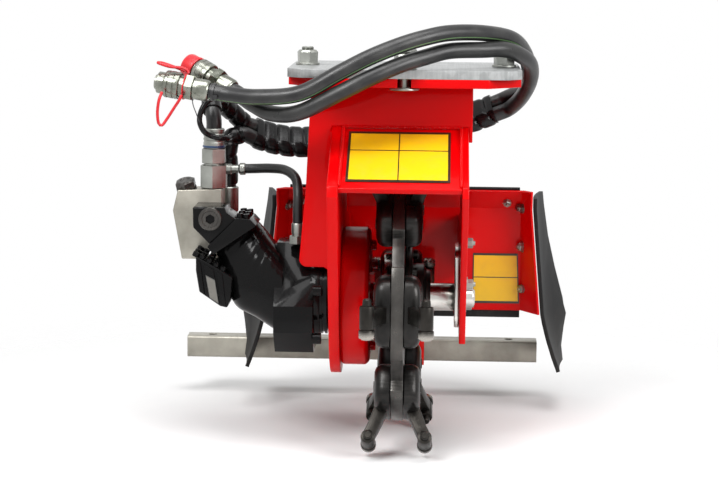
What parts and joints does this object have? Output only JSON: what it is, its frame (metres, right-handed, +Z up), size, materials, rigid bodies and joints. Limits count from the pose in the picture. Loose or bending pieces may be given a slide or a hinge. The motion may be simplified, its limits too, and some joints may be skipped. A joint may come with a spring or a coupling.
{
  "type": "stump grinder",
  "caption": "Hydraulic stump grinder head: toothed cutting wheel on a shaft in a welded hood, tilted motor, hoses with quick couplers, debris guard and a bolt-on hitch plate.",
  "frame": {"origin": "centre of the top face of the hitch plate, where it bolts to the carrier machine", "axes": "+Z up out of the hitch plate, +X along the cutter shaft away from the motor, -Y towards the side that cuts"},
  "size_m": [0.6092, 0.5928, 0.6095],
  "materials": {
    "red_paint": "gloss",
    "zinc_plate": "satin",
    "bare_steel": "satin",
    "worn_steel": "satin",
    "tooth_steel": "satin",
    "black_cast": "satin",
    "sheet_rubber": "matte",
    "hose_rubber": "satin",
    "wrap_plastic": "satin",
    "cap_plastic": "satin"
  },
  "bodies": {
    "frame": {"frame_top_plate": "red_paint", "side_plate_left": "red_paint", "side_plate_right": "red_paint", "front_plate": "red_paint", "roof_plate": "red_paint", "bearing_housing": "red_paint", "guard_panel": "red_paint", "tube_bracket": "red_paint", "hitch_plate": "zinc_plate", "hitch_bolt_left": "zinc_plate", "hitch_bolt_right": "zinc_plate", "hitch_bolt_front": "zinc_plate", "hitch_bolt_back": "zinc_plate", "valve_block": "zinc_plate", "pressure_fitting": "zinc_plate", "return_fitting": "zinc_plate", "drain_fitting": "zinc_plate", "coupler_front": "zinc_plate", "coupler_back": "zinc_plate", "support_tube": "zinc_plate", "bearing_left": "bare_steel", "bearing_right": "bare_steel", "bearing_flange": "bare_steel", "motor_flange_block": "black_cast", "motor_barrel_housing": "black_cast", "motor_end_cover": "black_cast", "rear_curtain": "sheet_rubber", "flap_left": "sheet_rubber", "flap_right": "sheet_rubber", "pressure_hose": "hose_rubber", "return_hose": "hose_rubber", "drain_hose": "hose_rubber", "hose_spiral": "wrap_plastic"},
    "rotor": {"cutter_shaft": "bare_steel", "wheel_hub": "worn_steel", "cutter_disc": "worn_steel", "motor_output_shaft": "bare_steel", "tooth_holder_1": "worn_steel", "tooth_holder_2": "worn_steel", "tooth_holder_3": "worn_steel", "tooth_holder_4": "worn_steel", "tooth_holder_5": "worn_steel", "tooth_holder_6": "worn_steel", "tooth_1_left": "tooth_steel", "tooth_1_right": "tooth_steel", "tooth_2_left": "tooth_steel", "tooth_2_right": "tooth_steel", "tooth_3_left": "tooth_steel", "tooth_3_right": "tooth_steel", "tooth_4_left": "tooth_steel", "tooth_4_right": "tooth_steel", "tooth_5_left": "tooth_steel", "tooth_5_right": "tooth_steel", "tooth_6_left": "tooth_steel", "tooth_6_right": "tooth_steel"},
    "cylinder_block": {"motor_cylinder_block": "bare_steel"},
    "front_sleeve": {"coupler_sleeve_front": "zinc_plate"},
    "back_sleeve": {"coupler_sleeve_back": "zinc_plate"},
    "cap": {"dust_cap": "cap_plastic"}
  },
  "joints": [
    {"name": "wheel_spin", "type": "hinge", "parent": "frame", "child": "rotor", "pos_m": [-0.0045, 0.005, -0.334], "axis": [1, 0, 0], "continuous": true},
    {"name": "block_spin", "type": "hinge", "parent": "frame", "child": "cylinder_block", "pos_m": [-0.1823, 0.005, -0.334], "axis": [0.8387, 0, -0.5446], "continuous": true},
    {"name": "front_sleeve_slide", "type": "slide", "parent": "frame", "child": "front_sleeve", "axis": [0.9788, -0.1398, -0.1498], "range_m": [0, 0.006]},
    {"name": "back_sleeve_slide", "type": "slide", "parent": "frame", "child": "back_sleeve", "axis": [0.7954, -0.4574, -0.3977], "range_m": [0, 0.006]},
    {"name": "cap_pull", "type": "slide", "parent": "frame", "child": "cap", "axis": [-0.7954, 0.4574, 0.3977], "range_m": [0, 0.03]}
  ],
  "couplings": [
    {"joint": "block_spin", "follows": "wheel_spin", "ratio": 1}
  ]
}
